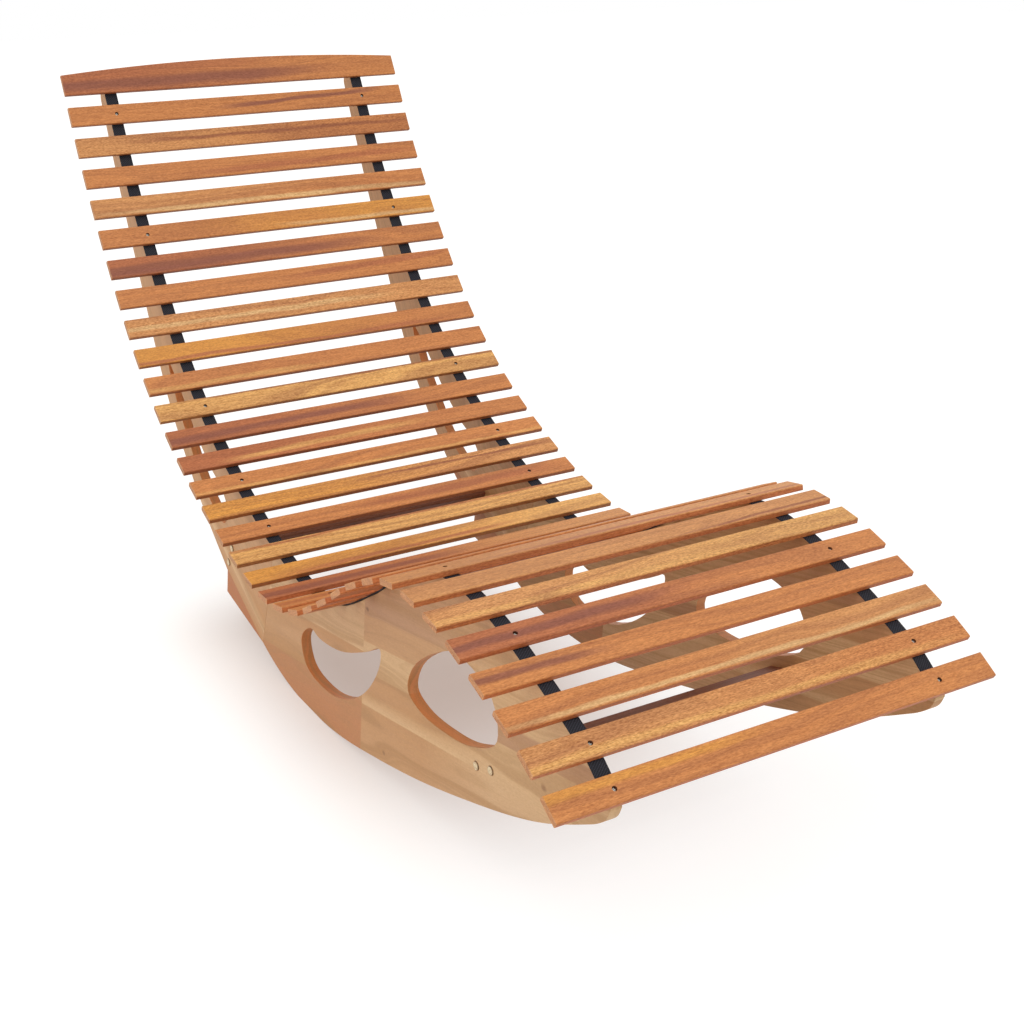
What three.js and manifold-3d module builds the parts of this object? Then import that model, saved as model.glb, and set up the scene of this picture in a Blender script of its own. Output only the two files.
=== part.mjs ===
// Rocking chaise lounge in oiled acacia.
// Thirty-five slats lie on two black webbing straps, which lie on the top edges of the two side frames.
// Each side frame is a back board and a rocker board glued at a mitre, with a leaf opening, a crescent
// opening and an oval opening. Two cross rails tie the side frames, each end held by two screws
// under round wooden plugs. The whole chair rolls on the curved lower edges of its rocker boards.
//
// Millimetres, +Z up. X runs along the slats, +Y points to the head end, -Y to the foot end.
// The chair stands at its own balance, with the flat of each rocker board on the floor.

import * as THREE from 'three';
import { mergeVertices } from 'three/addons/utils/BufferGeometryUtils.js';
import Module from 'manifold-3d';

const wasm = await Module();
wasm.setup();

// Overall sizes of the side view.
const RUN = 1500; // from the crest slat to the foot end, along the floor
const RISE = 806; // top face of the crest slat above the floor
const CLEARANCE = 0.3; // between pieces that rest on or in each other

// Slats.
const SLAT_COUNT = 35;
const SLAT_LENGTH = 600;
const SLAT_WIDTH = 32.5;
const SLAT_THICKNESS = 8;
const SLAT_EDGE_RADIUS = 1.5;
const CREST_END_WIDTH = 35; // width of the crest slat at its two ends
const CREST_ARCH = 13; // how far the middle of the crest slat rises above its ends
const SLAT_SCREW_RECESS_DIAMETER = 6;
const SLAT_SCREW_RECESS_DEPTH = 4;
const SLAT_SCREW_HOLE_DIAMETER = 4;
const SCREWED_SLATS = [2, 6, 12, 15, 17, 21, 28, 31, 34, 35]; // counted from the crest

// Webbing straps and the side boards below them.
const STRAP_SPACING = 446; // between the middles of the two straps, and of the two side frames
const STRAP_WIDTH = 20;
const STRAP_THICKNESS = 1.5;
const BOARD_THICKNESS = 15;
const HEAD_DEPTH = 34; // width of the back board at its head end
const HEAD_CORNER_RADIUS = 14;
const MITRE_SLAT = 18; // the mitre comes up under the head edge of this slat
const NOSE_REACH = 10; // how far the rocker board runs on past the middle of the foot slat
const REST_FLAT = 76; // length of the flat that stands on the floor
const HEEL_RADIUS = 410; // round of the rocker from the flat back to the mitre

// Cross rails, their screws and plugs.
const RAIL_WIDTH = 58;
const RAIL_THICKNESS = 15;
const RAIL_EDGE_RADIUS = 2;
const PLUG_SPACING = 35;
const PLUG_DIAMETER = 11;
const PLUG_THICKNESS = 5;
const PLUG_PROUD = 1.4; // how far a plug stands out of the board
const PLUG_CHAMFER = 0.4;
const SCREW_HEAD_DIAMETER = 8;
const SCREW_HEAD_HEIGHT = 2.5;
const SCREW_SHANK_DIAMETER = 4.5;
const SCREW_LENGTH = 50;
const SCREW_POINT_LENGTH = 6;
const SCREW_END_ROOM = 2; // free depth past the screw's point in the rail

// One overrun serves every cut that goes right through.
const CUT_OVERRUN = 2;

// Places in the side view as [share of RUN from the crest to the foot, share of RISE above the floor].
const SEAT_LINE_SHARES = [
  [0, 1], [0.0525, 0.8267], [0.1149, 0.6652], [0.1854, 0.5158],
  [0.2708, 0.3962], [0.3672, 0.3107], [0.4349, 0.2693], [0.5053, 0.2505],
  [0.5748, 0.2771], [0.637, 0.3415], [0.6967, 0.4142], [0.762, 0.4658],
  [0.8329, 0.4603], [0.901, 0.4213], [0.9664, 0.369], [0.9961, 0.3322],
];
const REAR_EDGE_SHARES = [
  [0.023, 0.782], [0.064, 0.636], [0.107, 0.484], [0.143, 0.377], [0.219, 0.225], [0.29, 0.122],
];
const HEEL_TIP_SHARE = [0.285, 0.073];
const MITRE_FOOT_SHARE = [0.38, 0.038]; // where the mitre meets the lower edge
const REST_SHARE = 0.4916; // middle of the flat that stands on the floor, as a share of RUN
const FORE_EDGE_SHARES = [
  [0.567, 0.009], [0.64, 0.037], [0.72, 0.0745], [0.8, 0.1205], [0.873, 0.168],
  [0.92, 0.2055], [0.968, 0.254], [0.984, 0.272], [0.994, 0.288], [0.9985, 0.305],
];
const LEAF_SHARES = [
  [0.145, 0.48], [0.183, 0.429], [0.219, 0.368], [0.258, 0.317], [0.288, 0.29], [0.302, 0.25],
  [0.288, 0.22], [0.261, 0.235], [0.227, 0.275], [0.194, 0.338], [0.165, 0.404],
];
const CRESCENT_SHARES = [
  [0.481, 0.128], [0.504, 0.166], [0.525, 0.162], [0.571, 0.176], [0.623, 0.217], [0.652, 0.245],
  [0.651, 0.219], [0.625, 0.151], [0.581, 0.094], [0.535, 0.071], [0.49, 0.083],
];
const OVAL_SHARES = [
  [0.703, 0.217], [0.713, 0.264], [0.757, 0.326], [0.79, 0.35], [0.842, 0.323],
  [0.849, 0.264], [0.811, 0.22], [0.767, 0.202], [0.723, 0.2],
];

// Middle of each cross rail, and the lean of its wide face in degrees.
const FRONT_RAIL_PLACE_SHARE = [0.8286, 0.202];
const FRONT_RAIL_LEAN = -18;
const REAR_RAIL_PLACE_SHARE = [0.3015, 0.1619];
const REAR_RAIL_LEAN = -58.6;

// Smoothness of the faceted curves.
const ROUND_STEPS = 3;
const CURVE_STEPS = 5;
const HOLE_SIDES = 20;
const STATION_DIVISIONS = 4000;

// Depths below the top faces of the slats, where the straps and the boards lie.
const STRAP_TOP_DEPTH = SLAT_THICKNESS + CLEARANCE;
const STRAP_UNDERSIDE_DEPTH = STRAP_TOP_DEPTH + STRAP_THICKNESS;
const BOARD_TOP_DEPTH = STRAP_UNDERSIDE_DEPTH + CLEARANCE;

// Side -1 is the sitter's right hand (-X), side 1 the left hand (+X).
const SIDES = [
  { name: 'right', sign: -1 },
  { name: 'left', sign: 1 },
];

// Finishes.
const wood = (color) => new THREE.MeshStandardMaterial({ color, roughness: 0.55, metalness: 0 });
const TONES = {
  orange: '#c07f4f',
  gold: '#c98f50',
  russet: '#a8653f',
};
const SLAT_TONES = {
  russet: [1, 7, 13, 20, 31],
  gold: [6, 10, 12, 18, 19, 24, 30],
};
const boardFinish = wood('#c9a077');
const railFinish = wood('#7d4a30');
const plugFinish = wood('#dcbf94');
const webbing = new THREE.MeshStandardMaterial({ color: '#24252b', roughness: 0.9, metalness: 0 });
const steel = new THREE.MeshStandardMaterial({ color: '#b9b9b4', roughness: 0.35, metalness: 1 });

// Points of the side view: y along the floor, z above it.
const place = ([runShare, riseShare]) => new THREE.Vector2(-runShare * RUN, riseShare * RISE);

// A smooth line through the keys, sampled evenly on each span from firstSpan on.
function smoothLine(keys, closed = false, firstSpan = 0) {
  const points3 = keys.map((key) => new THREE.Vector3(key.x, key.y, 0));
  const curve = new THREE.CatmullRomCurve3(points3, closed, 'centripetal');
  const spans = closed ? keys.length : keys.length - 1;
  const samples = [];
  for (let step = firstSpan * CURVE_STEPS; step <= spans * CURVE_STEPS; step += 1) {
    const point = curve.getPoint(step / (spans * CURVE_STEPS));
    samples.push(new THREE.Vector2(point.x, point.y));
  }
  if (closed) samples.pop();
  return samples;
}

// Each cross rail with its middle and its lean in the side view.
const frontRail = {
  name: 'front_rail',
  middle: place(FRONT_RAIL_PLACE_SHARE),
  lean: THREE.MathUtils.degToRad(FRONT_RAIL_LEAN),
};
const rearRail = {
  name: 'rear_rail',
  middle: place(REAR_RAIL_PLACE_SHARE),
  lean: THREE.MathUtils.degToRad(REAR_RAIL_LEAN),
};

// Stations of the slats: equal steps along the seat line, each with the lean of the line there.
function slatStations() {
  const keys = SEAT_LINE_SHARES.map(place);
  const line = new THREE.CatmullRomCurve3(
    keys.map((key) => new THREE.Vector3(0, key.x, key.y)),
    false,
    'centripetal',
  );
  line.arcLengthDivisions = STATION_DIVISIONS;
  const stations = [];
  for (let index = 0; index < SLAT_COUNT; index += 1) {
    const share = index / (SLAT_COUNT - 1);
    const middle = line.getPointAt(share);
    const tangent = line.getTangentAt(share);
    stations.push({ y: middle.y, z: middle.z, lean: Math.atan2(-tangent.z, -tangent.y) });
  }
  return stations;
}
const stations = slatStations();

// A point beside a slat: along its width towards the head, and down from its top face.
function besideSlat(index, along, depth) {
  const { y, z, lean } = stations[index];
  return new THREE.Vector2(
    y + along * Math.cos(lean) + depth * Math.sin(lean),
    z + along * Math.sin(lean) - depth * Math.cos(lean),
  );
}

// The line that the slats press on: flat under each slat and straight between two slats.
// Its two ends lie the given lengths beside the middle of the first and of the last slat.
function lineUnderSlats(first, last, depth, startAlong, endAlong) {
  const half = SLAT_WIDTH / 2;
  const points = [];
  for (let index = first; index <= last; index += 1) {
    points.push(besideSlat(index, index === first ? startAlong : half, depth));
    points.push(besideSlat(index, index === last ? endAlong : -half, depth));
  }
  return points;
}

// Arc about a centre, in the side view, both ends included.
function arc(centre, radius, startAngle, endAngle, steps) {
  const points = [];
  for (let step = 0; step <= steps; step += 1) {
    const angle = startAngle + ((endAngle - startAngle) * step) / steps;
    points.push(new THREE.Vector2(
      centre.x + radius * Math.cos(angle),
      centre.y + radius * Math.sin(angle),
    ));
  }
  return points;
}

// Arc of a given radius from one point to another, hanging below the straight line between them.
function hangingArc(from, to, radius, steps) {
  const chord = to.clone().sub(from);
  const up = new THREE.Vector2(chord.y, -chord.x).normalize();
  const half = chord.length() / 2;
  const centre = from.clone().lerp(to, 1 / 2).addScaledVector(up, Math.sqrt(radius * radius - half * half));
  const startAngle = Math.atan2(from.y - centre.y, from.x - centre.x);
  const endAngle = Math.atan2(to.y - centre.y, to.x - centre.x);
  return arc(centre, radius, startAngle, endAngle, steps);
}

// Solids.

// Moves an extruded side view so that it stands in the YZ plane, with its thickness centred on X.
function standInSideView(geometry, thickness) {
  geometry.translate(0, 0, -thickness / 2);
  const turn = new THREE.Matrix4().makeBasis(
    new THREE.Vector3(0, 1, 0),
    new THREE.Vector3(0, 0, 1),
    new THREE.Vector3(1, 0, 0),
  );
  return geometry.applyMatrix4(turn);
}

function extrudeSideView(outline, holes, thickness) {
  const shape = new THREE.Shape(outline);
  shape.holes = holes.map((hole) => new THREE.Path(hole));
  const geometry = new THREE.ExtrudeGeometry(shape, { depth: thickness, bevelEnabled: false });
  return standInSideView(geometry, thickness);
}

function toManifold(geometry) {
  const bare = geometry.clone();
  bare.deleteAttribute('normal');
  bare.deleteAttribute('uv');
  const merged = mergeVertices(bare);
  return new wasm.Manifold(new wasm.Mesh({
    numProp: 3,
    vertProperties: new Float32Array(merged.attributes.position.array),
    triVerts: new Uint32Array(merged.index.array),
  }));
}

function toGeometry(manifold) {
  const mesh = manifold.getMesh();
  const geometry = new THREE.BufferGeometry();
  geometry.setAttribute('position', new THREE.BufferAttribute(mesh.vertProperties, mesh.numProp));
  geometry.setIndex(new THREE.BufferAttribute(mesh.triVerts, 1));
  return geometry;
}

function cut(geometry, tools) {
  const body = tools.reduce((rest, tool) => rest.subtract(toManifold(tool)), toManifold(geometry));
  return toGeometry(body);
}

// A round bar along X between two places, centred on a point of the side view.
function barAlongX(diameter, fromX, toX, centre) {
  const bar = new THREE.CylinderGeometry(diameter / 2, diameter / 2, toX - fromX, HOLE_SIDES);
  bar.rotateZ(Math.PI / 2);
  return bar.translate((fromX + toX) / 2, centre.x, centre.y);
}

// A section with rounded corners, for a bar whose width lies on Y and whose thickness lies on Z.
function roundedSection(width, thickness, radius, top) {
  const right = width / 2;
  const bottom = top - thickness;
  const quarter = Math.PI / 2;
  const corner = (y, z, start) => arc(new THREE.Vector2(y, z), radius, start, start + quarter, ROUND_STEPS);
  return [
    ...corner(right - radius, top - radius, 0),
    ...corner(-right + radius, top - radius, quarter),
    ...corner(-right + radius, bottom + radius, 2 * quarter),
    ...corner(right - radius, bottom + radius, 3 * quarter),
  ];
}

// Slats lie with their length on X, their width on Y and their top face at z = 0.
function plainSlat() {
  const section = roundedSection(SLAT_WIDTH, SLAT_THICKNESS, SLAT_EDGE_RADIUS, 0);
  return extrudeSideView(section, [], SLAT_LENGTH);
}

// Recessed screw holes over the middle of each side frame.
function screwedSlat() {
  const tools = [];
  for (const { sign } of SIDES) {
    const recess = new THREE.CylinderGeometry(
      SLAT_SCREW_RECESS_DIAMETER / 2,
      SLAT_SCREW_RECESS_DIAMETER / 2,
      SLAT_SCREW_RECESS_DEPTH + CUT_OVERRUN,
      HOLE_SIDES,
    );
    const hole = new THREE.CylinderGeometry(
      SLAT_SCREW_HOLE_DIAMETER / 2,
      SLAT_SCREW_HOLE_DIAMETER / 2,
      SLAT_THICKNESS + 2 * CUT_OVERRUN,
      HOLE_SIDES,
    );
    const x = (sign * STRAP_SPACING) / 2;
    recess.rotateX(Math.PI / 2);
    recess.translate(x, 0, (CUT_OVERRUN - SLAT_SCREW_RECESS_DEPTH) / 2);
    hole.rotateX(Math.PI / 2);
    hole.translate(x, 0, -SLAT_THICKNESS / 2);
    tools.push(recess, hole);
  }
  return cut(plainSlat(), tools);
}

// The crest slat has a straight lower edge and an arched upper edge.
function crestSlat() {
  const half = SLAT_LENGTH / 2;
  const radius = (half * half + CREST_ARCH * CREST_ARCH) / (2 * CREST_ARCH);
  const reach = Math.asin(half / radius);
  const lowerEdge = -SLAT_WIDTH / 2;
  const centre = new THREE.Vector2(0, lowerEdge + CREST_END_WIDTH + CREST_ARCH - radius);
  const archSteps = ROUND_STEPS * CURVE_STEPS;
  const outline = [
    new THREE.Vector2(-half, lowerEdge),
    new THREE.Vector2(half, lowerEdge),
    ...arc(centre, radius, Math.PI / 2 - reach, Math.PI / 2 + reach, archSteps),
  ];
  const geometry = new THREE.ExtrudeGeometry(new THREE.Shape(outline), {
    depth: SLAT_THICKNESS - 2 * SLAT_EDGE_RADIUS,
    bevelEnabled: true,
    bevelThickness: SLAT_EDGE_RADIUS,
    bevelSize: SLAT_EDGE_RADIUS,
    bevelOffset: -SLAT_EDGE_RADIUS,
    bevelSegments: ROUND_STEPS - 1,
  });
  return geometry.translate(0, 0, SLAT_EDGE_RADIUS - SLAT_THICKNESS);
}

// Strap: a ribbon that follows the undersides of the slats from the crest to the foot.
function strap() {
  const last = SLAT_COUNT - 1;
  const upper = lineUnderSlats(0, last, STRAP_TOP_DEPTH, 0, 0);
  const lower = lineUnderSlats(0, last, STRAP_UNDERSIDE_DEPTH, 0, 0);
  return extrudeSideView([...upper, ...lower.reverse()], [], STRAP_WIDTH);
}

// Lower edge of the rocker: round behind the flat, and a long flatter sweep ahead of it.
const restY = -REST_SHARE * RUN;
const flatBack = new THREE.Vector2(restY + REST_FLAT / 2, 0);
const flatFront = new THREE.Vector2(restY - REST_FLAT / 2, 0);
const mitreFoot = place(MITRE_FOOT_SHARE);
const heelArc = hangingArc(mitreFoot, flatBack, HEEL_RADIUS, 2 * CURVE_STEPS);

function foreSweep() {
  const keys = FORE_EDGE_SHARES.map(place);
  // The mirrored first key makes the sweep leave the flat level with the floor.
  const leadIn = new THREE.Vector2(2 * flatFront.x - keys[0].x, keys[0].y);
  return smoothLine([leadIn, flatFront, ...keys], false, 1);
}

const mitreTop = besideSlat(MITRE_SLAT - 1, SLAT_WIDTH / 2, BOARD_TOP_DEPTH);

// Back board, from the mitre up under the slats to the head, and down its rear edge to the heel.
function backBoardOutline() {
  const topEdge = lineUnderSlats(0, MITRE_SLAT - 2, BOARD_TOP_DEPTH, 0, -SLAT_WIDTH / 2).reverse();
  const { lean } = stations[0];
  const cornerCentre = besideSlat(
    0,
    -HEAD_CORNER_RADIUS,
    BOARD_TOP_DEPTH + HEAD_DEPTH - HEAD_CORNER_RADIUS,
  );
  const corner = arc(cornerCentre, HEAD_CORNER_RADIUS, lean, lean - Math.PI / 2, 2 * ROUND_STEPS);
  const rearKeys = [corner[corner.length - 1], ...REAR_EDGE_SHARES.map(place)];
  return [
    mitreTop,
    ...topEdge,
    ...corner.slice(0, -1),
    ...smoothLine(rearKeys),
    place(HEEL_TIP_SHARE),
    mitreFoot,
  ];
}

// Rocker board, from the mitre along under the slats to the nose, and back along the lower edge.
function rockerOutline() {
  const along = mitreTop.clone().sub(mitreFoot).normalize();
  const glueLine = new THREE.Vector2(-along.y, along.x).multiplyScalar(CLEARANCE);
  const first = MITRE_SLAT - 1;
  const last = SLAT_COUNT - 1;
  const topEdge = lineUnderSlats(first, last, BOARD_TOP_DEPTH, SLAT_WIDTH / 2, -NOSE_REACH);
  return [
    mitreTop.clone().add(glueLine),
    ...topEdge.slice(1),
    ...foreSweep().reverse(),
    ...heelArc.slice(1).reverse(),
    mitreFoot.clone().add(glueLine),
  ];
}

// Two screw places at each rail end, in the side view.
function railScrewPlaces({ middle, lean }) {
  return [-1, 1].map((sign) => new THREE.Vector2(
    middle.x + (sign * PLUG_SPACING * Math.cos(lean)) / 2,
    middle.y + (sign * PLUG_SPACING * Math.sin(lean)) / 2,
  ));
}

const PLUG_SUNK = PLUG_THICKNESS - PLUG_PROUD;
const BORE_DEPTH = PLUG_SUNK + SCREW_HEAD_HEIGHT + 2 * CLEARANCE;

// Counterbores in the outer face and screw holes right through, for one side board.
function railScrewCuts(rail, sign) {
  const outer = (sign * BOARD_THICKNESS) / 2;
  const inner = outer - sign * BORE_DEPTH;
  const beyond = outer + sign * CUT_OVERRUN;
  const holeHalf = BOARD_THICKNESS / 2 + CUT_OVERRUN;
  return railScrewPlaces(rail).flatMap((centre) => [
    barAlongX(PLUG_DIAMETER + 2 * CLEARANCE, Math.min(inner, beyond), Math.max(inner, beyond), centre),
    barAlongX(SCREW_SHANK_DIAMETER + 2 * CLEARANCE, -holeHalf, holeHalf, centre),
  ]);
}

function backBoard(sign) {
  const board = extrudeSideView(
    backBoardOutline(),
    [smoothLine(LEAF_SHARES.map(place), true)],
    BOARD_THICKNESS,
  );
  return cut(board, railScrewCuts(rearRail, sign));
}

function rockerBoard(sign) {
  const openings = [CRESCENT_SHARES, OVAL_SHARES].map((shares) => smoothLine(shares.map(place), true));
  const board = extrudeSideView(rockerOutline(), openings, BOARD_THICKNESS);
  return cut(board, railScrewCuts(frontRail, sign));
}

const RAIL_LENGTH = STRAP_SPACING - BOARD_THICKNESS - 2 * CLEARANCE;
const BOARD_FACE_X = (STRAP_SPACING + BOARD_THICKNESS) / 2;
const SCREW_HEAD_X = BOARD_FACE_X - PLUG_SUNK - CLEARANCE;
const SCREW_TIP_X = SCREW_HEAD_X - SCREW_HEAD_HEIGHT - SCREW_LENGTH;

// Rail lying with its length on X and its width on Y, with a screw hole pair in each end.
function rail() {
  const section = roundedSection(RAIL_WIDTH, RAIL_THICKNESS, RAIL_EDGE_RADIUS, RAIL_THICKNESS / 2);
  const bar = extrudeSideView(section, [], RAIL_LENGTH);
  const end = RAIL_LENGTH / 2 + CUT_OVERRUN;
  const bottom = SCREW_TIP_X - SCREW_END_ROOM;
  const holes = [-1, 1].flatMap((sign) => {
    const centre = new THREE.Vector2((sign * PLUG_SPACING) / 2, 0);
    const diameter = SCREW_SHANK_DIAMETER + 2 * CLEARANCE;
    return [
      barAlongX(diameter, bottom, end, centre),
      barAlongX(diameter, -end, -bottom, centre),
    ];
  });
  return cut(bar, holes);
}

// Lathe profiles run up the axis; the finished piece points its head along +X.
function turnedAlongX(profile) {
  const turned = new THREE.LatheGeometry(profile.map(([r, h]) => new THREE.Vector2(r, h)), HOLE_SIDES);
  return turned.rotateZ(-Math.PI / 2);
}

function railScrew() {
  const shank = SCREW_SHANK_DIAMETER / 2;
  const head = SCREW_HEAD_DIAMETER / 2;
  return turnedAlongX([
    [0, -SCREW_HEAD_HEIGHT - SCREW_LENGTH],
    [shank, SCREW_POINT_LENGTH - SCREW_HEAD_HEIGHT - SCREW_LENGTH],
    [shank, -SCREW_HEAD_HEIGHT],
    [head, -SCREW_HEAD_HEIGHT],
    [head, 0],
    [0, 0],
  ]);
}

function plug() {
  const radius = PLUG_DIAMETER / 2;
  return turnedAlongX([
    [0, -PLUG_THICKNESS],
    [radius, -PLUG_THICKNESS],
    [radius, -PLUG_CHAMFER],
    [radius - PLUG_CHAMFER, 0],
    [0, 0],
  ]);
}

// The chair.
const chair = new THREE.Group();

function add(name, geometry, material, parent = chair) {
  const mesh = new THREE.Mesh(geometry, material);
  mesh.name = name;
  parent.add(mesh);
  return mesh;
}

function toneOf(number) {
  const tone = Object.keys(SLAT_TONES).find((name) => SLAT_TONES[name].includes(number));
  return TONES[tone ?? 'orange'];
}

const slatShapes = { plain: plainSlat(), screwed: screwedSlat(), crest: crestSlat() };

stations.forEach(({ y, z, lean }, index) => {
  const number = index + 1;
  const ending = { 1: '_crest', [SLAT_COUNT]: '_foot' }[number] ?? '';
  const kind = number === 1 ? 'crest' : SCREWED_SLATS.includes(number) ? 'screwed' : 'plain';
  const name = `slat_${String(number).padStart(2, '0')}${ending}`;
  const slat = add(name, slatShapes[kind], wood(toneOf(number)));
  slat.position.set(0, y, z);
  slat.rotation.x = lean;
});

for (const { name, sign } of SIDES) {
  const side = new THREE.Group();
  side.position.x = (sign * STRAP_SPACING) / 2;
  chair.add(side);
  add(`${name}_strap`, strap(), webbing.clone(), side);
  add(`${name}_back_board`, backBoard(sign), boardFinish.clone(), side);
  add(`${name}_rocker_board`, rockerBoard(sign), boardFinish.clone(), side);
}

for (const crossRail of [frontRail, rearRail]) {
  const bar = add(crossRail.name, rail(), railFinish.clone());
  bar.position.set(0, crossRail.middle.x, crossRail.middle.y);
  bar.rotation.x = crossRail.lean;
  for (const { name, sign } of SIDES) {
    railScrewPlaces(crossRail).forEach((centre, index) => {
      const label = `${name}_${crossRail.name}`;
      const cap = add(`${label}_plug_${index + 1}`, plug(), plugFinish.clone());
      const screw = add(`${label}_screw_${index + 1}`, railScrew(), steel.clone());
      cap.position.set(sign * (BOARD_FACE_X + PLUG_PROUD), centre.x, centre.y);
      screw.position.set(sign * SCREW_HEAD_X, centre.x, centre.y);
      if (sign < 0) {
        cap.rotation.z = Math.PI;
        screw.rotation.z = Math.PI;
      }
    });
  }
}

// The origin lies on the floor, under the middle of the chair.
const extent = new THREE.Box3().setFromObject(chair);
chair.position.y = -(extent.min.y + extent.max.y) / 2;

const group = new THREE.Group();
group.add(chair);

export default group;
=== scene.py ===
# %% [markdown]
# # A rocking chaise lounge in oiled acacia
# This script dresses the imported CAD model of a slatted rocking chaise: thirty-five thin slats lie
# across two black webbing straps, and the straps follow the tops of two cut-out side frames.
# Everything new is built around it.

import math

import bmesh
import bpy
import numpy as np
from mathutils import Matrix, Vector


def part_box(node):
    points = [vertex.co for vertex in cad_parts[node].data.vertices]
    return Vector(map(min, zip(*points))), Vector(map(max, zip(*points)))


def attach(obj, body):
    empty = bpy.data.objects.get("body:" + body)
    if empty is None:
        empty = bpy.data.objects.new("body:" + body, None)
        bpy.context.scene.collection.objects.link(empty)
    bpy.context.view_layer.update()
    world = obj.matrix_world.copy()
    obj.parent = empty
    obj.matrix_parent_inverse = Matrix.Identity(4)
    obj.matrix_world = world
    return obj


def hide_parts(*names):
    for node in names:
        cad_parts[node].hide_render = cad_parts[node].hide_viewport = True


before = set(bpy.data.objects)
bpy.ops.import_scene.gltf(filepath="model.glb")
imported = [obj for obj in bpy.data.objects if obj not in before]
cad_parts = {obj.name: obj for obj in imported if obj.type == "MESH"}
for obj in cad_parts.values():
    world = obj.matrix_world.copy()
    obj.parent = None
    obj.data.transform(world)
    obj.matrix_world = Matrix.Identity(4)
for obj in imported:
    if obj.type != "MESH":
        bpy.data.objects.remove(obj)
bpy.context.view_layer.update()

MM = 0.001  # the frame is in metres, and the sizes below are in millimetres

# %% [markdown]
# ## The camera
# The photograph looks down on the chair from its foot end, a little to the sitter's right. The
# place, the turn and the lens come from matching the slats' corners. A small shift stands for the
# crop of the photograph, so verticals lean as they do there.

# %% Camera
CAMERA_PLACE_MM = (-1021.5, -1894.4, 1130.3)
CAMERA_TURN_DEG = -30.837
CAMERA_DROP_DEG = 19.217
CAMERA_LENS_MM = 56.01
CAMERA_SHIFT_Y = -0.08

camera_data = bpy.data.cameras.new("camera")
camera_data.lens = CAMERA_LENS_MM
camera_data.shift_y = CAMERA_SHIFT_Y
camera = bpy.data.objects.new("camera", camera_data)
camera.location = np.array(CAMERA_PLACE_MM) * MM
camera.rotation_euler = (math.radians(90 - CAMERA_DROP_DEG), 0, math.radians(CAMERA_TURN_DEG))
bpy.context.collection.objects.link(camera)
bpy.context.scene.camera = camera
bpy.context.scene.view_settings.view_transform = "Standard"
print("camera at", CAMERA_PLACE_MM, "mm, lens", CAMERA_LENS_MM, "mm")

# %% [markdown]
# ## Colours and nodes
# Colours are written as the sRGB hex values that a picture shows, and one function turns them into
# the linear numbers that shaders work with. One more function adds a node to a tree: it sets the
# node, fills or links its inputs, and hands back the output that the next node needs.

# %% Helpers for materials
def linear(hex_colour):
    """sRGB hex to linear RGBA: each channel is c/12.92 near black, else ((c+0.055)/1.055)^2.4."""
    channels = np.array([int(hex_colour[i:i + 2], 16) for i in (1, 3, 5)]) / 255
    curved = np.where(channels <= 0.04045, channels / 12.92, ((channels + 0.055) / 1.055) ** 2.4)
    return (*curved.tolist(), 1.0)


def put(tree, kind, inputs=None, take=0, **settings):
    """Adds a node with its settings and inputs, and returns its output number take."""
    made = tree.nodes.new(kind)
    for name, value in settings.items():
        setattr(made, name, value)
    for name, value in (inputs or {}).items():
        if isinstance(value, bpy.types.NodeSocket):
            tree.links.new(value, made.inputs[name])
        else:
            made.inputs[name].default_value = value
    return made.outputs[take] if len(made.outputs) else made


def new_group(name, inputs, outputs):
    """An empty node group whose sockets are given as {name: socket kind}."""
    tree = bpy.data.node_groups.new(name, "ShaderNodeTree")
    for socket, kind in inputs.items():
        tree.interface.new_socket(socket, in_out="INPUT", socket_type=kind)
    for socket, kind in outputs.items():
        tree.interface.new_socket(socket, in_out="OUTPUT", socket_type=kind)
    return tree, tree.nodes.new("NodeGroupInput").outputs


def new_material(name):
    """An empty material and its node tree."""
    material = bpy.data.materials.new(name)
    material.use_nodes = True
    material.node_tree.nodes.clear()
    return material, material.node_tree


def paint(target, material):
    """Gives every material slot of an object the one material."""
    if not target.material_slots:
        target.data.materials.append(material)
    for slot in target.material_slots:
        slot.material = material


# %% [markdown]
# ## The figure of acacia
# Sawn acacia shows long streaks, because each growth ring is cut lengthwise. The group below works
# like a tree: it measures how far a point lies from a pith line that runs beside the piece, with
# some wander, and reads uneven rings off that distance. So the end grain and the faces agree. Fine
# fibres, short flecks and open pores are noise that is stretched along the grain. Light flecks
# turn a little yellow and dark ones a little red, as oil does to thin and dense wood. Places are
# in millimetres: along the grain, across the face, and down into the wood.

# %% Rings
RING_MM = 4.2  # one year's growth
PITH_SPREAD_MM = 90  # a piece's pith lies somewhere in a square of this size
PITH_CORNER_MM = (0, -45, 24)  # one corner of that square
PITH_LEAN = 0.05  # the pith leans within this much rise per run
RING_SEED_STEP = 17  # rings of two pieces are read this many rings apart
LATE_WOOD = (0.36, 0.7)  # noise between which early wood turns to late wood


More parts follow.
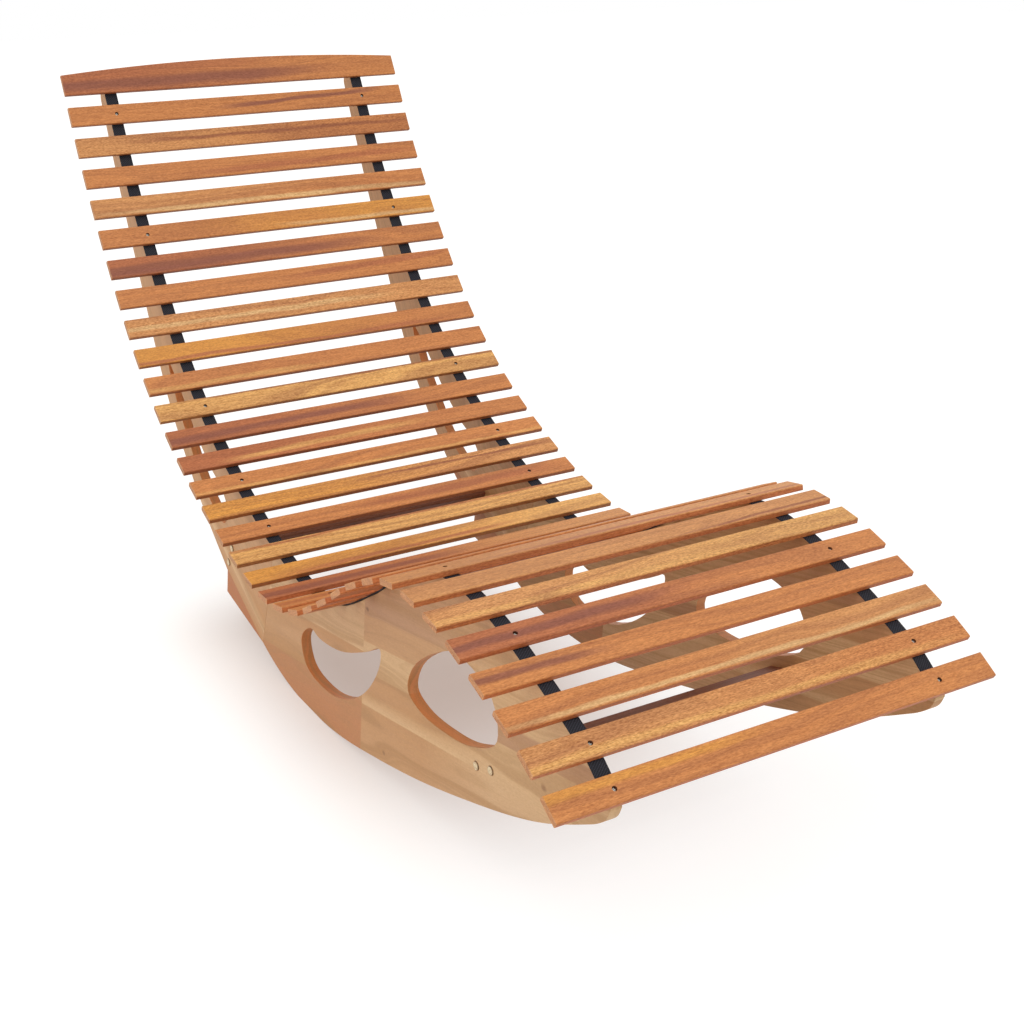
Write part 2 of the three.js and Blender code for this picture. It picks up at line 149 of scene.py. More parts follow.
def ring_streaks(tree, place, bent, seed):
    """1 in late wood and 0 in early wood: uneven noise read off the distance to the pith line.

    The distance is the length of (y, z) of bent place + pith + run * lean, in rings.
    """
    luck = put(tree, "ShaderNodeTexWhiteNoise", {"W": seed}, take=1, noise_dimensions="1D")
    pith = put(tree, "ShaderNodeVectorMath",
               {0: luck, 1: (0, PITH_SPREAD_MM, PITH_SPREAD_MM), 2: PITH_CORNER_MM},
               operation="MULTIPLY_ADD")
    lean = put(tree, "ShaderNodeSeparateXYZ", {0: luck})
    along = put(tree, "ShaderNodeSeparateXYZ", {0: place})
    lean = put(tree, "ShaderNodeMath", {0: lean, 1: PITH_LEAN, 2: -PITH_LEAN / 2},
               operation="MULTIPLY_ADD")
    lean = put(tree, "ShaderNodeMath", {0: lean, 1: along}, operation="MULTIPLY")
    lean = put(tree, "ShaderNodeCombineXYZ", {"Y": lean, "Z": lean})
    spoke = put(tree, "ShaderNodeVectorMath", {0: bent, 1: pith}, operation="ADD")
    spoke = put(tree, "ShaderNodeVectorMath", {0: spoke, 1: lean}, operation="ADD")
    spoke = put(tree, "ShaderNodeVectorMath", {0: spoke, 1: (0, 1, 1)}, operation="MULTIPLY")
    radius = put(tree, "ShaderNodeVectorMath", {0: spoke}, take=1, operation="LENGTH")
    radius = put(tree, "ShaderNodeMath", {0: radius, 1: 1 / RING_MM}, operation="MULTIPLY")
    radius = put(tree, "ShaderNodeMath", {0: seed, 1: RING_SEED_STEP, 2: radius},
                 operation="MULTIPLY_ADD")
    rings = put(tree, "ShaderNodeTexNoise", {"W": radius, "Scale": 0.55, "Detail": 4,
                                             "Roughness": 0.62}, noise_dimensions="1D")
    return put(tree, "ShaderNodeMapRange", {0: rings, 1: LATE_WOOD[0], 2: LATE_WOOD[1]},
               interpolation_type="SMOOTHSTEP")


# %% Acacia figure
# sizes of the noises along the grain, across it and down
WANDER_MM = (260, 46, 46)
FIBRE_MM = (60, 1.5, 1.5)
FLECK_MM = (4.2, 1.25, 1.25)
PORE_MM = (6, 1.0, 1.0)  # drawn about three times too coarse, so that they show
STRAY_MM = 26  # how far the wander takes the grain off its straight course
FLECK_STRENGTH = 2.6
OPEN_PORE = (0.53, 0.7)  # noise between which a pore opens
PORE_STRENGTH = 0.6
PORE_ROUGHNESS = 0.25
SHEEN = (0.46, 0.6)  # roughness of dense and of open fibres under oil
LIGHT_TURN = (0.7, 1.0, 1.4)  # light grain turns yellow and dark grain red


def stretched(tree, place, lengths):
    """Places divided by the lengths, so that a noise of size one comes out that long."""
    return put(tree, "ShaderNodeVectorMath", {0: place, 1: [1 / v for v in lengths]},
               operation="MULTIPLY")


def make_figure():
    """Colour = ground, darkened by rings of the distance to the pith, by fibres and by pores."""
    tree, given = new_group(
        "acacia figure",
        {"Place": "NodeSocketVector", "Seed": "NodeSocketFloat", "Ground": "NodeSocketColor",
         "Late wood": "NodeSocketColor", "Figure": "NodeSocketFloat",
         "Fibres": "NodeSocketFloat", "Pores": "NodeSocketFloat"},
        {"Colour": "NodeSocketColor", "Roughness": "NodeSocketFloat", "Height": "NodeSocketFloat"},
    )
    place, seed = given["Place"], given["Seed"]
    drift = put(tree, "ShaderNodeTexNoise",
                {"Vector": stretched(tree, place, WANDER_MM), "W": seed, "Scale": 1, "Detail": 1},
                take=1, noise_dimensions="4D")
    drift = put(tree, "ShaderNodeVectorMath", {0: drift, 1: (0.5, 0.5, 0.5)}, operation="SUBTRACT")
    drift = put(tree, "ShaderNodeVectorMath", {0: drift, 1: (0, STRAY_MM, STRAY_MM)},
                operation="MULTIPLY")
    bent = put(tree, "ShaderNodeVectorMath", {0: place, 1: drift}, operation="ADD")
    rings = ring_streaks(tree, place, bent, seed)

    fibres = put(tree, "ShaderNodeTexNoise",
                 {"Vector": stretched(tree, bent, FIBRE_MM), "W": seed, "Scale": 1, "Detail": 4,
                  "Roughness": 0.65}, noise_dimensions="4D")
    pores = put(tree, "ShaderNodeTexNoise",
                {"Vector": stretched(tree, bent, PORE_MM), "W": seed, "Scale": 1, "Detail": 2,
                 "Roughness": 0.7}, noise_dimensions="4D")
    pores = put(tree, "ShaderNodeMapRange", {0: pores, 1: OPEN_PORE[0], 2: OPEN_PORE[1]},
                interpolation_type="SMOOTHSTEP")
    flecks = put(tree, "ShaderNodeTexNoise",
                 {"Vector": stretched(tree, bent, FLECK_MM), "W": seed, "Scale": 1, "Detail": 1},
                 noise_dimensions="4D")

    streak = put(tree, "ShaderNodeMath", {0: rings, 1: given["Figure"]}, operation="MULTIPLY")
    colour = put(tree, "ShaderNodeMix", {0: streak, 6: given["Ground"], 7: given["Late wood"]},
                 take=2, data_type="RGBA")
    shade = put(tree, "ShaderNodeMath", {0: fibres, 1: 0.5}, operation="SUBTRACT")
    shade = put(tree, "ShaderNodeMath", {0: shade, 1: given["Fibres"]}, operation="MULTIPLY")
    grain = put(tree, "ShaderNodeMath", {0: flecks, 1: FLECK_STRENGTH, 2: -FLECK_STRENGTH / 2},
                operation="MULTIPLY_ADD")
    shade = put(tree, "ShaderNodeMath", {0: grain, 1: given["Pores"], 2: shade},
                operation="MULTIPLY_ADD")
    shade = put(tree, "ShaderNodeVectorMath", {0: shade, 1: LIGHT_TURN, 2: (1, 1, 1)},
                operation="MULTIPLY_ADD")
    colour = put(tree, "ShaderNodeVectorMath", {0: colour, 1: shade}, operation="MULTIPLY")
    specks = put(tree, "ShaderNodeMath", {0: pores, 1: given["Pores"]}, operation="MULTIPLY")
    specks = put(tree, "ShaderNodeMath", {0: specks, 1: PORE_STRENGTH}, operation="MULTIPLY")
    dark = put(tree, "ShaderNodeHueSaturation",
               {"Value": 0.42, "Saturation": 1.1, "Color": given["Late wood"]})
    colour = put(tree, "ShaderNodeMix", {0: specks, 6: colour, 7: dark}, take=2, data_type="RGBA")

    roughness = put(tree, "ShaderNodeMapRange",
                    {0: fibres, 1: 0.3, 2: 0.7, 3: SHEEN[0], 4: SHEEN[1]})
    roughness = put(tree, "ShaderNodeMath", {0: specks, 1: PORE_ROUGHNESS, 2: roughness},
                    operation="MULTIPLY_ADD", use_clamp=True)
    height = put(tree, "ShaderNodeMath", {0: pores, 1: -0.6, 2: fibres}, operation="MULTIPLY_ADD")
    put(tree, "NodeGroupOutput", {"Colour": colour, "Roughness": roughness, "Height": height})
    return tree


acacia_figure = make_figure()
print("acacia figure:", len(acacia_figure.nodes), "nodes")


# %% Oiled wood
RELIEF_MM = 0.12  # depth of the open grain


def lay_along(tree, y, z, lean):
    """Places in mm about the middle of a stick's top face: along the stick, across it, and up."""
    source = put(tree, "ShaderNodeTexCoord", take=3)
    return put(tree, "ShaderNodeMapping",
               {0: source, 1: (0, y, z), 2: (lean, 0, 0), 3: (MM, MM, MM)},
               vector_type="TEXTURE")


def finish_wood(tree, place, seed, ground, late, figure, fibres, pores):
    """Runs the figure over a ground colour. Oil gives a soft, wide sheen, duller over the pores."""
    wood = put(tree, "ShaderNodeGroup",
               {"Place": place, "Seed": seed, "Ground": ground, "Late wood": late,
                "Figure": figure, "Fibres": fibres, "Pores": pores},
               node_tree=acacia_figure).node
    bump = put(tree, "ShaderNodeBump",
               {"Strength": 0.5, "Distance": RELIEF_MM * MM, "Height": wood.outputs["Height"]})
    surface = put(tree, "ShaderNodeBsdfPrincipled",
                  {"Base Color": wood.outputs["Colour"], "Roughness": wood.outputs["Roughness"],
                   "IOR": 1.5, "Normal": bump})
    put(tree, "ShaderNodeOutputMaterial", {"Surface": surface})


# %% [markdown]
# ## Slats
# Each slat is one stick of acacia, planed and oiled, and no two have the same colour: heartwood
# runs from honey through orange to a purplish brown, and sapwood is pale. The table names what
# shows on each slat: its colour at the right and at the left end, and one band of another colour,
# such as a dark cathedral streak or a pale strip of sapwood along an edge. The edges and undersides
# get painted shade, deeper on the backrest slats than on the seat, and the ends get painted light
# that makes the end grain pale. The walls of the screw holes get painted shade. The CAD slats have
# the right shape already, so they stay and only get this finish.

# %% Colours of oiled acacia
ACACIA = {
    "orange": "#ce8345", "amber": "#dc953c", "honey": "#e4a95e", "tan": "#d49254",
    "russet": "#b5683b", "plum": "#874a37", "brown": "#94532e", "sand": "#e6b97c",
}
ACACIA = {name: linear(value) for name, value in ACACIA.items()}

# number: (right end, left end, band, across mm, half width mm, slope, middle mm, half length mm)
SLAT_LOOKS = {
    1: ("russet", "orange", "plum", -2, 10, 0.01, -140, 360),
    2: ("orange", "orange", "plum", 5, 5, 0.05, 110, 190),
    3: ("tan", "orange", "brown", 3, 4, 0.0, 60, 330),
    4: ("orange", "orange", "russet", -4, 6, 0.02, 100, 260),
    5: ("tan", "orange", "sand", -11, 4, 0.0, 40, 420),
    6: ("orange", "amber", "sand", -10, 4, 0.0, 180, 200),
    7: ("russet", "orange", "plum", -5, 10, 0.01, -150, 380),
    8: ("orange", "orange", "russet", 6, 6, 0.05, 150, 190),
    9: ("tan", "tan", "sand", -2, 5, 0.0, -120, 330),
    10: ("amber", "orange", "russet", -12, 4, 0.0, -60, 420),
    11: ("orange", "orange", "honey", -9, 5, 0.0, -180, 220),
    12: ("honey", "honey", "brown", 14, 3, 0.0, 60, 420),
    13: ("russet", "orange", "plum", -3, 8, 0.02, -160, 330),
    14: ("russet", "orange", "honey", -4, 6, 0.03, -60, 200),
    15: ("orange", "orange", "honey", -13, 3, 0.0, 0, 420),
    16: ("amber", "tan", "brown", 4, 3, 0.0, 120, 220),
    17: ("orange", "orange", "russet", 2, 9, 0.0, 100, 220),
    18: ("honey", "honey", "russet", 13, 3, 0.0, 0, 420),
    19: ("amber", "honey", "russet", -10, 5, 0.01, -60, 240),
    20: ("russet", "tan", "plum", -4, 9, 0.0, -200, 260),
    21: ("orange", "honey", "russet", -2, 10, 0.0, -280, 160),
    22: ("orange", "orange", "brown", -8, 4, 0.02, 90, 220),
    23: ("tan", "orange", "sand", 9, 5, 0.0, -60, 330),
    24: ("russet", "orange", "brown", -6, 6, 0.0, 20, 300),
    25: ("tan", "honey", "russet", -5, 6, 0.01, -240, 200),
    26: ("orange", "orange", "russet", 5, 5, 0.05, 140, 190),
    27: ("orange", "tan", "brown", 6, 4, 0.0, 60, 300),
    28: ("tan", "tan", "russet", -9, 5, 0.0, 100, 320),
    29: ("tan", "tan", "brown", -11, 3, 0.02, 220, 180),
    30: ("tan", "honey", "honey", -10, 5, 0.0, 0, 420),
    31: ("russet", "orange", "plum", -1, 7, 0.03, -200, 230),
    32: ("orange", "orange", "plum", 4, 6, -0.04, -290, 190),
    33: ("orange", "tan", "sand", -11, 4, 0.0, 0, 420),
    34: ("tan", "orange", "honey", -10, 5, 0.0, -80, 420),
    35: ("orange", "orange", "amber", 9, 6, 0.0, -220, 220),
}
COARSE_SLATS = (3, 9, 12, 16, 18, 30, 34)  # open pores give these a grainy face


# %% Band of a slat
SLAT_WAVE_MM = (140, 22, 22)
BAND_WAVE_MM = 14
BAND_SIDE = (1.25, 0.35)  # shares of the half width between which a band comes in
BAND_ENDS = (1.0, 0.45)  # the same for its half length
BAND_COVER = 0.85


def band_cover(tree, given, parts, waves):
    """A band's strength, which falls away from a wavy line and towards the band's two ends.

    The line's place across the slat = across + slope * (x - middle) + waves.
    """
    from_middle = put(tree, "ShaderNodeMath", {0: parts[0], 1: given["Middle"]},
                      operation="SUBTRACT")
    line = put(tree, "ShaderNodeMath",
               {0: from_middle, 1: given["Slope"], 2: given["Across"]},
               operation="MULTIPLY_ADD")
    line = put(tree, "ShaderNodeMath", {0: waves, 1: BAND_WAVE_MM, 2: line},
               operation="MULTIPLY_ADD")
    line = put(tree, "ShaderNodeMath", {0: line, 1: BAND_WAVE_MM / 2}, operation="SUBTRACT")
    away = put(tree, "ShaderNodeMath", {0: parts[1], 1: line}, operation="SUBTRACT")
    cover = BAND_COVER
    for far, half, (outside, inside) in ((away, given["Half width"], BAND_SIDE),
                                         (from_middle, given["Half length"], BAND_ENDS)):
        far = put(tree, "ShaderNodeMath", {0: far}, operation="ABSOLUTE")
        far = put(tree, "ShaderNodeMath", {0: far, 1: half}, operation="DIVIDE")
        near = put(tree, "ShaderNodeMapRange", {0: far, 1: outside, 2: inside},
                   interpolation_type="SMOOTHSTEP")
        cover = put(tree, "ShaderNodeMath", {0: cover, 1: near}, operation="MULTIPLY")
    return cover


# %% Painted shade in a screw hole
SCREW_X_MM = 223  # from the middle of the chair to the screws, the straps and the side frames
BORE_SHADE_RADIUS_MM = 3.3  # a little wider than the hole, and narrower than anything beside it
BORE_SHADE_MM = (-0.1, -0.7)  # heights between which the hole's wall turns dark
BORE_SHADE_COVER = 0.9
# painted shade on the walls of the screw holes
BORE_SHADE = linear("#2c170d")


def bore_shade_cover(tree, place, height):
    """Share of painted shade: near one of the slat's two screw axes, and below its top face."""
    from_screw = put(tree, "ShaderNodeVectorMath", {0: place}, operation="ABSOLUTE")
    from_screw = put(tree, "ShaderNodeVectorMath", {0: from_screw, 1: (SCREW_X_MM, 0, 0)},
                     operation="SUBTRACT")
    from_screw = put(tree, "ShaderNodeVectorMath", {0: from_screw, 1: (1, 1, 0)},
                     operation="MULTIPLY")
    from_screw = put(tree, "ShaderNodeVectorMath", {0: from_screw}, take=1, operation="LENGTH")
    inside = put(tree, "ShaderNodeMath", {0: from_screw, 1: BORE_SHADE_RADIUS_MM},
                 operation="LESS_THAN")
    deep = put(tree, "ShaderNodeMapRange", {0: height, 1: BORE_SHADE_MM[0], 2: BORE_SHADE_MM[1], 4: BORE_SHADE_COVER})
    return put(tree, "ShaderNodeMath", {0: inside, 1: deep}, operation="MULTIPLY")


# %% Ground of a slat
SLAT_LENGTH_MM = 600
TURN_MM = (-20, 440)  # where one end's colour turns to the other's, once the waves are added
TURN_WAVE_MM = 420
# the edges and undersides get painted shade, and the ends painted light on their end grain
EDGE_SHADE_MM = (-0.9, -2.2)  # heights between which the edges turn dark
EDGE_SHADE_COVER = 0.75
# the slat ends get painted light, which makes their end grain pale
END_SKIN_MM = 0.2
LIT_END_COVER = 0.6
LIT_END_GRAIN = linear("#d8a26c")


def make_slat_ground():
    """Ground = right-end colour turning to left-end colour, with four covers laid over it.

    These are the band, painted shade on the edges and in the holes, and painted light on the ends.
    """
    numbers = ("Across", "Half width", "Slope", "Middle", "Half length", "Seed")
    tree, given = new_group(
        "slat ground",
        {"Place": "NodeSocketVector", "Right end": "NodeSocketColor",
         "Left end": "NodeSocketColor", "Band": "NodeSocketColor", "Edge shade": "NodeSocketColor",
         **{name: "NodeSocketFloat" for name in numbers}},
        {"Ground": "NodeSocketColor"},
    )
    place = given["Place"]
    parts = put(tree, "ShaderNodeSeparateXYZ", {0: place}).node.outputs
    waves = put(tree, "ShaderNodeTexNoise",
                {"Vector": stretched(tree, place, SLAT_WAVE_MM), "W": given["Seed"], "Scale": 1,
                 "Detail": 3}, noise_dimensions="4D")
    turn = put(tree, "ShaderNodeMath", {0: waves, 1: TURN_WAVE_MM, 2: parts[0]},
               operation="MULTIPLY_ADD")
    turn = put(tree, "ShaderNodeMapRange", {0: turn, 1: TURN_MM[0], 2: TURN_MM[1]},
               interpolation_type="SMOOTHSTEP")
    ground = put(tree, "ShaderNodeMix", {0: turn, 6: given["Right end"], 7: given["Left end"]},
                 take=2, data_type="RGBA")
    edge_shade = put(tree, "ShaderNodeMapRange",
                 {0: parts[2], 1: EDGE_SHADE_MM[0], 2: EDGE_SHADE_MM[1], 4: EDGE_SHADE_COVER})
    end = put(tree, "ShaderNodeMath", {0: parts[0]}, operation="ABSOLUTE")
    end = put(tree, "ShaderNodeMath", {0: end, 1: SLAT_LENGTH_MM / 2 - END_SKIN_MM},
              operation="GREATER_THAN")
    end = put(tree, "ShaderNodeMath", {0: end, 1: LIT_END_COVER}, operation="MULTIPLY")
    for cover, colour in ((band_cover(tree, given, parts, waves), given["Band"]),
                          (edge_shade, given["Edge shade"]),
                          (bore_shade_cover(tree, place, parts[2]), BORE_SHADE),
                          (end, LIT_END_GRAIN)):
        ground = put(tree, "ShaderNodeMix", {0: cover, 6: ground, 7: colour}, take=2,
                     data_type="RGBA")
    put(tree, "NodeGroupOutput", {"Ground": ground})
    return tree


slat_ground = make_slat_ground()
print("slat ground:", len(slat_ground.nodes), "nodes")

# %% [markdown]
# ## Where a slat lies
# A slat's figure has to run along it and lean with it, so its material needs the place of a point
# about the slat itself. Each slat's middle and lean are measured from its mesh, and a Mapping node
# turns Object coordinates by them. The straps and the screws use the same measures later.

# %% Place of a slat
SLAT_WIDTH_MM = 32.5


def measure_slat(node):
    """(y, z, lean) of a slat in metres: the middle of its top face, and the turn of its section.

    The long axis is the first right singular vector of the YZ points about their mean. The middle
    lies half a slat's width up from the lower edge, which holds for the arched crest slat too.
    """
    flat = np.empty(len(node.data.vertices) * 3)
    node.data.vertices.foreach_get("co", flat)
    section = flat.reshape(-1, 3)[:, 1:]
    wide = np.linalg.svd(section - section.mean(0), full_matrices=False)[2][0]
    wide = wide * (1 if wide[0] > 0 else -1)
    normal = np.array([-wide[1], wide[0]])
    lower_edge, top_face = (section @ wide).min(), (section @ normal).max()
    middle = wide * (lower_edge + SLAT_WIDTH_MM * MM / 2) + normal * top_face
    return middle[0], middle[1], math.atan2(wide[1], wide[0])


# %% Oil the slats
# painted shade on the edges and undersides: deeper on the backrest slats, in the valley behind the
# seat
BACK_EDGE_SHADE = linear("#7c3e1e")
SEAT_EDGE_SHADE = linear("#c06737")
FIRST_SEAT_SLAT = 20
GROUND_SEED, FIGURE_SEED = 3.7, 5.3  # per slat, so that no two share a noise


def oil_slat(number, node):
    """One slat's material: its place, its ground and the figure. Returns where the slat lies."""
    y, z, lean = measure_slat(node)
    right, left, band, across, half_width, slope, middle, half_length = SLAT_LOOKS[number]
    material, tree = new_material(f"oiled acacia slat {number:02d}")
    place = lay_along(tree, y, z, lean)
    ground = put(tree, "ShaderNodeGroup",
                 {"Place": place, "Right end": ACACIA[right], "Left end": ACACIA[left],
                  "Band": ACACIA[band],
                  "Edge shade": BACK_EDGE_SHADE if number < FIRST_SEAT_SLAT else SEAT_EDGE_SHADE,
                  "Across": across, "Half width": half_width,
                  "Slope": slope, "Middle": middle, "Half length": half_length,
                  "Seed": GROUND_SEED * number}, node_tree=slat_ground)
    coarse = number in COARSE_SLATS
    finish_wood(tree, place, FIGURE_SEED * number, ground, late=ACACIA["brown"],
                figure=0.5 if coarse else 0.42, fibres=1.1, pores=0.65 if coarse else 0.47)
    paint(node, material)
    return y, z, lean


slats = {}
for name, node in sorted(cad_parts.items()):
    if name.startswith("slat_"):
        number = int(name.split("_")[1])
        slats[number] = oil_slat(number, node)
print(len(slats), "slats oiled; first leans", round(math.degrees(slats[1][2]), 1), "degrees")

# %% [markdown]
# ## Side frames
# A back board and a rocker board meet at a glued mitre. Each is laid up from narrow staves of
# acacia, so a face shows bands of straw, brown and pale sapwood that run with the grain, and a
# straight line where one length of staves was joined to the next. The edges were eased with a
# round-over bit. A merged copy of the CAD board gets that round-over from a Bevel modifier. It
# reads edge weights, so the small screw bores stay sharp.

# %% Boards with eased edges
BOARD_NAMES = [f"{side}_{kind}_board" for side in ("right", "left") for kind in ("back", "rocker")]
EASED_MM = 1.6
EASED_STEPS = 3
SHORTEST_EASED_MM = 1.8  # the facets of the bores are shorter than this
SQUARE_DEG = 60  # edges sharper than this are eased
ONE_FACE_DEG = 0.3  # facets that turn less than this become one face
WELD_MM = 0.01


def mark_openings(shape):
    """Marks opening walls for painted bounce light: every ring of side walls but the one with most
    faces.
    """
    opening_bounce = shape.faces.layers.float.new("opening_bounce")
    walls = {face for face in shape.faces if abs(face.normal.x) < 0.5}
    rings = []
    while walls:
        ring, waiting = [], [walls.pop()]
        while waiting:
            face = waiting.pop()
            ring.append(face)
            beside = {other for edge in face.edges for other in edge.link_faces} & walls
            walls -= beside
            waiting += beside
        rings.append(ring)
    for ring in sorted(rings, key=len)[:-1]:
        for face in ring:
            face[opening_bounce] = 1.0


def eased_board(name):
    """A merged copy of a board whose long right-angled edges are rounded over."""
    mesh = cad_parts[name].data.copy()
    shape = bmesh.new()
    shape.from_mesh(mesh)
    bmesh.ops.remove_doubles(shape, verts=shape.verts, dist=WELD_MM * MM)
    bmesh.ops.dissolve_limit(shape, angle_limit=math.radians(ONE_FACE_DEG),
                             verts=shape.verts, edges=shape.edges)
    weight = shape.edges.layers.float.new("bevel_weight_edge")
    for edge in shape.edges:
        square = edge.calc_face_angle(0) > math.radians(SQUARE_DEG)
        crosswise = abs(edge.verts[0].co.x - edge.verts[1].co.x) > WELD_MM * MM
        long_enough = edge.calc_length() > SHORTEST_EASED_MM * MM
        edge[weight] = float(square and long_enough and not crosswise)
    mark_openings(shape)
    shape.to_mesh(mesh)
    shape.free()
    mesh.materials.clear()
    board = bpy.data.objects.new(f"{name}_eased", mesh)
    bpy.context.collection.objects.link(board)
    bevel = board.modifiers.new("round-over", "BEVEL")
    bevel.limit_method = "WEIGHT"
    bevel.width = EASED_MM * MM
    bevel.segments = EASED_STEPS
    mesh.polygons.foreach_set("use_smooth", [True] * len(mesh.polygons))
    board.modifiers.new("flat faces", "WEIGHTED_NORMAL")
    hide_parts(name)
    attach(board, "root")
    return board


boards = {name: eased_board(name) for name in BOARD_NAMES}
print("boards eased:", {name: len(board.data.polygons) for name, board in boards.items()})

# %% [markdown]
# ## Staves
# A board has two lengths of staves, on either side of a joint line. Each length has its own grain
# direction and its own list of stave colours, read across the grain from a colour ramp. Two stops
# close together make the sharp edge between two staves; stops far apart make sapwood fade out.
# Knots push the grain aside and darken its middle.

# %% Stave colours
STAVE = {
    "straw": "#ce9d6d", "pale": "#dfb786", "tan": "#c7925d", "brown": "#c79462",
    "umber": "#c58656", "rose": "#c2936c", "russet": "#b9703d", "knot": "#6f4229",
}
STAVE = {name: linear(value) for name, value in STAVE.items()}
STAVE_LATE = linear("#b2824f")
# painted warm bounce light on the walls of the openings, which lie in shade
OPENING_BOUNCE = linear("#dc8444")
STAVE_SPAN_MM = (-160, 240)  # the part across the grain that a colour ramp covers
JOIN_MM = 1.2  # how sharp the edge between two staves is

# Each length: the grain's rise towards the foot in degrees, then its staves from the lowest up as
# (upper limit across in mm, colour at its lower edge, colour at its upper edge).
# HEEL's last stave and FOOT's first stave are paler: painted light against the shade under the
# slats' overhang.
HEEL = (9.5, [(-23, "umber", "umber"), (14, "tan", "straw"), (52, "straw", "tan"),
              (240, "pale", "straw")])
FORE = (11, [(-84, "pale", "straw"), (-26, "straw", "brown"), (-4, "pale", "brown"),
             (24, "brown", "brown"), (68, "pale", "pale"), (108, "straw", "straw"),
             (240, "rose", "tan")])
FOOT = (11, [(4, "rose", "pale"), (24, "pale", "pale"), (50, "rose", "rose"),
             (240, "pale", "tan")])
BLOCK = (-28, [(-18, "russet", "russet"), (2, "tan", "straw"), (24, "pale", "tan"),
               (70, "tan", "straw"), (240, "straw", "tan")])
SPINE = (-63, [(-40, "brown", "tan"), (10, "tan", "straw"), (60, "straw", "tan"),
               (240, "brown", "tan")])

# Each board: its lengths from the head to the foot, with the joint in front of each as a point
# (y, z), its lean from upright in degrees and the width of the change in mm; the point where across
# is nought; knots as (y, z, radius); and a shift across that makes the left boards differ.
BOARD_LOOKS = {
    "right_rocker_board": ((HEEL, FORE, FOOT), (((-184, 120), 7.5, 1), ((-450, 200), 10, 160)),
                           (-183, 120), [(-208, 241, 3), (-636, 206, 4), (-243, 49, 3)], 0),
    "left_rocker_board": ((HEEL, FOOT, FORE), (((-96, 120), 4, 1), ((-380, 160), 10, 120)),
                          (-183, 120), [(-610, 213, 4), (-330, 262, 3)], 14),
    "right_back_board": ((SPINE, BLOCK), (((340, 215), 63, 1),), (250, 95), [(370, 160, 3)], 0),
    "left_back_board": ((SPINE, BLOCK), (((310, 190), 63, 1),), (250, 95), [(610, 520, 3)], -23),
}


# %% Lay of the staves
KNOT_STRETCH = 0.42  # a knot's push reaches further along the grain than across it
KNOT_REACH = 5  # in knot radii
KNOT_PUSH = -0.7


def grain_frame(rise_deg):
    """Axes of a stave as matrix columns: towards the foot along the grain, across it, and out."""
    c, s = math.cos(math.radians(rise_deg)), math.sin(math.radians(rise_deg))
    return Matrix(((0, 0, -1), (-c, s, 0), (s, c, 0)))


def stave_ramp(tree, across, staves):
    """Colour of a stave from the place across the grain, through one colour ramp."""
    low, high = STAVE_SPAN_MM
    share = put(tree, "ShaderNodeMapRange", {0: across, 1: low, 2: high})
    ramp = put(tree, "ShaderNodeValToRGB", {0: share}).node
    stops = [(low, staves[0][1])]
    for (limit, _, top), (_, bottom, _) in zip(staves, staves[1:]):
        stops += [(limit - JOIN_MM, top), (limit, bottom)]
    stops.append((staves[-1][0], staves[-1][2]))
    elements = ramp.color_ramp.elements
    while len(elements) < len(stops):
        elements.new(0.5)
    for element, (limit, colour) in zip(elements, stops):
        element.position = (limit - low) / (high - low)
        element.color = STAVE[colour]
    return ramp.outputs[0]


def push_from_knots(tree, place, knots, axes, origin, offset):
    """Moves places away from the knots across the grain, so that the figure flows round them."""
    for y, z, radius in knots:
        spot = np.array(axes).T @ (0, y - origin[0], z - origin[1]) + offset
        gap = put(tree, "ShaderNodeVectorMath", {0: place, 1: spot}, operation="SUBTRACT")
        gap = put(tree, "ShaderNodeVectorMath", {0: gap, 1: (KNOT_STRETCH, 1, 0)},
                  operation="MULTIPLY")
        far = put(tree, "ShaderNodeVectorMath", {0: gap}, take=1, operation="LENGTH")
        push = put(tree, "ShaderNodeMapRange",
                   {0: far, 1: KNOT_REACH * radius, 2: 0, 3: 0, 4: KNOT_PUSH},
                   interpolation_type="SMOOTHSTEP")
        push = put(tree, "ShaderNodeVectorMath", {0: gap, 3: push}, operation="SCALE")
        push = put(tree, "ShaderNodeVectorMath", {0: push, 1: (0, 1, 0)}, operation="MULTIPLY")
        place = put(tree, "ShaderNodeVectorMath", {0: place, 1: push}, operation="ADD")
    return place


def passed(tree, source, joint, lean, width):
    """0 before a joint line and 1 after it, by the distance -y cos(lean) - z sin(lean) in mm."""
    c, s = math.cos(math.radians(lean)), math.sin(math.radians(lean))
    reach = put(tree, "ShaderNodeVectorMath", {0: source, 1: (0, -c / MM, -s / MM)}, take=1,
                operation="DOT_PRODUCT")
    start = -joint[0] * c - joint[1] * s
    return put(tree, "ShaderNodeMapRange", {0: reach, 1: start - width / 2, 2: start + width / 2})


# %% Stave finish
LENGTH_STEP_MM = 400  # each length of staves comes from another part of the tree
BOARD_STEP_MM = 60
HEART_SHAPE = (0, 0.75, 1)  # a knot's dark heart is a little longer along the board
HEART_EDGE = (1.5, 0.3)  # in knot radii
HEART_COVER = 0.85
OPENING_BOUNCE_COVER = 0.7
BOARD_SEED, BOARD_SEED_STEP = 11.7, 2.9


